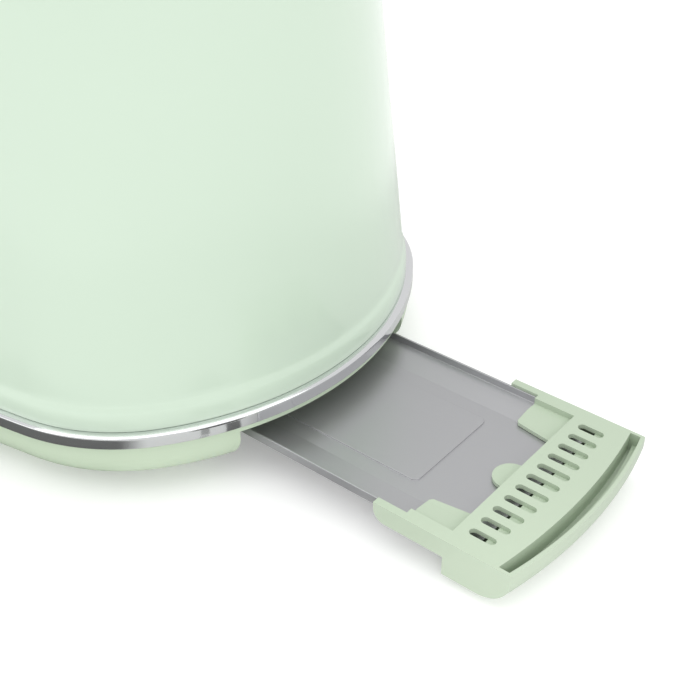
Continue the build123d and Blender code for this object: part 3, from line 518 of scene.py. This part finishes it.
# the bevel along the band's upper edge, in mm: (inset, depth below the top)
BAND_BEVEL = ((0.0, 0.62), (0.05, 0.52), (0.16, 0.42), (1.4, 0.16), (2.4, 0.01), (2.6, 0.01))
band_profile = (
    [(BAND_BACK, BAND_LOW + 0.05 * MM), (0.45 * MM, BAND_LOW)]
    + arc((LOW_ROUND, BAND_LOW + LOW_ROUND), LOW_ROUND, -pi / 2, -pi, 4)
    + [(0.0, BAND_LOW + 1.6 * MM), (0.0, BAND_TOP - 1.6 * MM)]
    + [(inset * MM, BAND_TOP - depth * MM) for inset, depth in BAND_BEVEL]
    + [(BAND_BACK, BAND_TOP)]
)
band = make_object("band", sweep_oval("band", band_profile), "base_band")
shade(band.data, 50)

# ---------------------------------------------------------------- base skirt and feet

SKIRT_LOW = 7 * MM
SKIRT_INSET = 1.2 * MM
ROUNDING = 11 * MM
WALL = 2.8 * MM
NECK = 6.8 * MM
NECK_WALL = 2.2 * MM
FLOOR = SKIRT_LOW + 3 * MM
BAY_HALF = 43.3 * MM
BAY_WALL = 2.5 * MM
BAY_BACK = 0.113
NOTCH_BACK = 0.1155
NOTCH_TOP = 20.4 * MM
DOOR_BACK = 0.112
DOOR_HALF = 41.2 * MM
DOOR_TOP = 18.8 * MM
# the cutters end well outside the skirt
BEYOND_END = 0.2
BEYOND_TOP = 0.06
BELOW_TABLE = -0.01
AIR_SLOTS = 7
AIR_PITCH = 12
AIR_Y = 64 * MM
skirt_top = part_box("base_skirt")[1].z
rounding_at = (SKIRT_INSET + ROUNDING, SKIRT_LOW + ROUNDING)
skirt_outside = (
    [(NECK, skirt_top), (NECK, BAND_LOW), (SKIRT_INSET + 0.5 * MM, BAND_LOW)]
    + [(SKIRT_INSET + 0.15 * MM, BAND_LOW - 0.1 * MM), (SKIRT_INSET, BAND_LOW - 0.45 * MM)]
    + arc(rounding_at, ROUNDING, pi, 3 * pi / 2, 28)
)
under_band = BAND_LOW - 2 * MM
cavity_outside = (
    [(NECK + NECK_WALL, skirt_top + HOLE_REACH), (NECK + NECK_WALL, under_band)]
    + [(SKIRT_INSET + WALL, under_band)]
    + arc(rounding_at, ROUNDING - WALL, pi, 3 * pi / 2, 16)
)


def box_mesh(name, low, high):
    """A cutter between two corners."""
    outline = [(low[0], low[1]), (high[0], low[1]), (high[0], high[1]), (low[0], high[1])]
    return prism(name, outline, upright(low[2]), upright(high[2]))


def cavity_cutter():
    """Mesh of the space inside the skirt, which leaves the tray bay's walls standing."""
    cavity = bpy.data.objects.new("cavity", sweep_oval("cavity", cavity_outside, False))
    scene.collection.objects.link(cavity)
    bay_low = (BAY_BACK, -BAY_HALF - BAY_WALL, BELOW_TABLE)
    bay_high = (BEYOND_END, BAY_HALF + BAY_WALL, BEYOND_TOP)
    carve(cavity, [box_mesh("bay_block", bay_low, bay_high)])
    mesh = cavity.data
    bpy.data.objects.remove(cavity)
    return mesh


cavity_mesh = cavity_cutter()
skirt = make_object("skirt", sweep_oval("skirt", skirt_outside, False), "base_skirt")
notch_low = (NOTCH_BACK, -BAY_HALF, BELOW_TABLE)
door_low = (DOOR_BACK, -DOOR_HALF, FLOOR + 0.1 * MM)
cutters = [
    cavity_mesh,
    box_mesh("notch", notch_low, (BEYOND_END, BAY_HALF, NOTCH_TOP)),
    box_mesh("doorway", door_low, (BEYOND_END, DOOR_HALF, DOOR_TOP)),
]
air_outline = rounded_box_outline(2 * MM, 12 * MM, 1.99 * MM)
for side in (-1, 1):
    for index in range(AIR_SLOTS):
        slot_x = (index - AIR_SLOTS // 2) * AIR_PITCH * MM
        air_slot = [(slot_x + u, side * AIR_Y + v) for u, v in air_outline]
        cutters.append(prism("air_slot", air_slot, upright(0), upright(FLOOR + 1 * MM)))
carve(skirt, cutters)
soften(skirt, 0.5 * MM, 4, 40)
refined("rubber_feet", "feet", 0.3 * MM, 3)

# ---------------------------------------------------------------- crumb tray

refined("tray_front", "tray_handle", 0.45 * MM, 4)
refined("crumb_pan", "tray_pan", 0.14 * MM, 3, 20)

# ---------------------------------------------------------------- top, lever and controls

refined("slot_surround", "slot_frame", 0.5 * MM, 4)
refined("lever_slot_trim", "lever_trim", 0.3 * MM, 3)
refined("knob_bezel", "dial_ring", 0.4 * MM, 3)
refined("button_bezel", "button_plate", 0.4 * MM, 3)
refined("lever_knob", "lever_grip", 0.4 * MM, 3)
for button in ("reheat_button", "cancel_button", "defrost_button"):
    refined(button, button.replace("_button", "_key"), 0.2 * MM, 3)


KNOB_BACK = -1
KNOB_FRONT = 15.3
FLUTES = 28
STEPS_PER_FLUTE = 8
# rings of the browning knob, in mm: (distance out from the panel, radius, depth of the flutes)
KNOB_RINGS = (
    (KNOB_BACK, 12.7, 0.0), (KNOB_BACK + 0.4, 12.8, 0.0), (2.2, 12.7, 0.0), (3.2, 12.62, 0.35),
    (4.2, 12.56, 0.7), (8.0, 12.36, 0.7), (11.6, 12.16, 0.7), (13.0, 12.0, 0.45),
    (14.0, 11.6, 0.15), (14.7, 11.1, 0.0), (15.1, 10.5, 0.0), (KNOB_FRONT, 9.7, 0.0),
    (KNOB_FRONT - 0.25, 8.6, 0.0), (KNOB_FRONT - 0.3, 4.0, 0.0),
)


def fluted_knob():
    """Mesh of the browning knob, with a fluted side, a domed rim and a shallow recess in front."""
    form = bmesh.new()
    count = FLUTES * STEPS_PER_FLUTE
    rings = []
    for out, radius, depth in KNOB_RINGS:
        ring = []
        for i in range(count):
            turn = 2 * pi * i / count
            dip = depth * max(0.0, cos(turn * FLUTES)) ** 2
            reach = (radius - dip) * MM
            point = KNOB_AT + PANEL_SIDE * (reach * cos(turn)) + PANEL_UP * (reach * sin(turn))
            ring.append(form.verts.new(point + PANEL_OUT * (out * MM)))
        rings.append(ring)
    for lower, upper in zip(rings, rings[1:]):
        join_rings(form, lower, upper)
    form.faces.new(rings[0][::-1])
    form.faces.new(rings[-1])
    mesh = finished_mesh(form, "browning_dial")
    shade(mesh, 50)
    return mesh


make_object("browning_dial", fluted_knob(), "browning_knob")

# ---------------------------------------------------------------- floor, light and camera

WHITE = (1, 1, 1, 1)


def square_mesh(name, half, segments):
    """A flat square mesh around the origin."""
    form = bmesh.new()
    bmesh.ops.create_grid(form, x_segments=segments, y_segments=segments, size=half)
    mesh = bpy.data.meshes.new(name)
    form.to_mesh(mesh)
    form.free()
    return mesh


# the floor glows faintly, which lightens the shadows under the tray as in the photograph
FLOOR_HALF = 4.0
FLOOR_SEGMENTS = 8
FLOOR_DROP = 0.0002
FLOOR_GLOW = 0.22
floor_mesh = square_mesh("floor", FLOOR_HALF, FLOOR_SEGMENTS)
floor = bpy.data.objects.new("floor", floor_mesh)
scene.collection.objects.link(floor)
floor.location.z = -FLOOR_DROP
floor_finish = surface(
    "studio_floor", (0.86, 0.86, 0.86), 0.75, tone=0.002, spread=0.03, bump=0.02, specular=0.1)
floor_shader = floor_finish.node_tree.nodes["Principled BSDF"]
floor_shader.inputs["Emission Color"].default_value = WHITE
floor_shader.inputs["Emission Strength"].default_value = FLOOR_GLOW
floor_mesh.materials.append(floor_finish)

SKY_STRENGTH = 0.80
world = bpy.data.worlds.new("studio")
scene.world = world
world.use_nodes = True
background = world.node_tree.nodes["Background"]
background.inputs["Color"].default_value = WHITE
background.inputs["Strength"].default_value = SKY_STRENGTH


def place_lamp(name, lamp, place, aim):
    """A light that stands at one point and shines at another."""
    light = bpy.data.objects.new(name, lamp)
    scene.collection.objects.link(light)
    light.location = place
    light.rotation_euler = (Vector(aim) - Vector(place)).to_track_quat("-Z", "Y").to_euler()
    return light


def soft_light(name, place, aim, size, power):
    """A rectangular softbox that points at a spot on the object."""
    lamp = bpy.data.lights.new(name, "AREA")
    lamp.shape = "RECTANGLE"
    lamp.size, lamp.size_y = size
    lamp.energy = power
    place_lamp(name, lamp, place, aim)


# name, place, aim, size in metres and power in watts
soft_light("overhead", (0.1, -0.2, 1.9), (0.05, 0, 0), (2.2, 2.2), 16)
soft_light("left_key", (-0.9, -1.5, 1.1), (0, 0, 0.1), (1.2, 1.4), 3.5)

# a small soft pool of light on the near corner of the drawn-out tray
pool = bpy.data.lights.new("tray_pool", "SPOT")
pool.energy = 0.5
pool.spot_size = radians(34)
pool.spot_blend = 1.0
pool.shadow_soft_size = 0.04
tray_pool = place_lamp("tray_pool", pool, (0.35, -0.18, 0.16), (0.238, -0.045, 0.0175))
tray_pool.visible_camera = False
tray_pool.visible_glossy = False

soft_light("right_fill", (1.8, -0.4, 0.9), (0.1, 0, 0.05), (1.0, 1.2), 4.5)

CARD_ROUGHNESS = 0.9
CARD_EDGE = 0.22


def reflected_card(name, centre, half, turn, grey):
    """A soft-edged card on the floor that is seen only in reflections."""
    mesh = square_mesh(name, 1.0, 1)
    card = bpy.data.objects.new(name, mesh)
    scene.collection.objects.link(card)
    card.location = centre
    card.rotation_euler = (0, 0, radians(turn))
    card.scale = (half[0], half[1], 1)
    card.visible_camera = False
    card.visible_diffuse = False
    card.visible_shadow = False
    card.visible_transmission = False
    finish = bpy.data.materials.new(name)
    finish.use_nodes = True
    tree = finish.node_tree
    shader = tree.nodes["Principled BSDF"]
    shader.inputs["Base Color"].default_value = (grey, grey, grey, 1)
    shader.inputs["Roughness"].default_value = CARD_ROUGHNESS
    place = tree.nodes.new("ShaderNodeTexCoord")
    blot = tree.nodes.new("ShaderNodeTexGradient")
    blot.gradient_type = "SPHERICAL"
    tree.links.new(place.outputs["Object"], blot.inputs["Vector"])
    fade = tree.nodes.new("ShaderNodeMapRange")
    fade.interpolation_type = "SMOOTHSTEP"
    fade.inputs["From Max"].default_value = CARD_EDGE
    tree.links.new(blot.outputs["Fac"], fade.inputs["Value"])
    tree.links.new(fade.outputs["Result"], shader.inputs["Alpha"])
    mesh.materials.append(finish)


# the band's light and dark patches: centre, half size, turn in degrees and grey of each card
reflected_card("card_around", (0.07, -0.05, 0.0003), (0.36, 0.28), 0, 0.66)
reflected_card("card_side", (0.040, -0.116, 0.0006), (0.122, 0.060), 0, 0.12)
reflected_card("card_corner", (0.172, -0.066, 0.0006), (0.0026, 0.040), 72, 0.30)
reflected_card("card_notch", (0.1765, -0.0505, 0.0006), (0.0045, 0.040), 78, 0.13)
reflected_card("card_wall", (0.198, -0.066, 0.0006), (0.024, 0.022), 0, 0.05)

# the camera's place, in metres, its slope and its heading match the photograph's view
CAMERA_DOWN = 35.55
CAMERA_HEADING = 38.97
view = bpy.data.cameras.new("camera")
view.sensor_width = 36
view.lens = 63.39
view.clip_start = 0.01
view.clip_end = 20
camera = bpy.data.objects.new("camera", view)
scene.collection.objects.link(camera)
camera.location = (0.36138, -0.26091, 0.27332)
camera.rotation_euler = (radians(90 - CAMERA_DOWN), 0, radians(CAMERA_HEADING))
scene.camera = camera
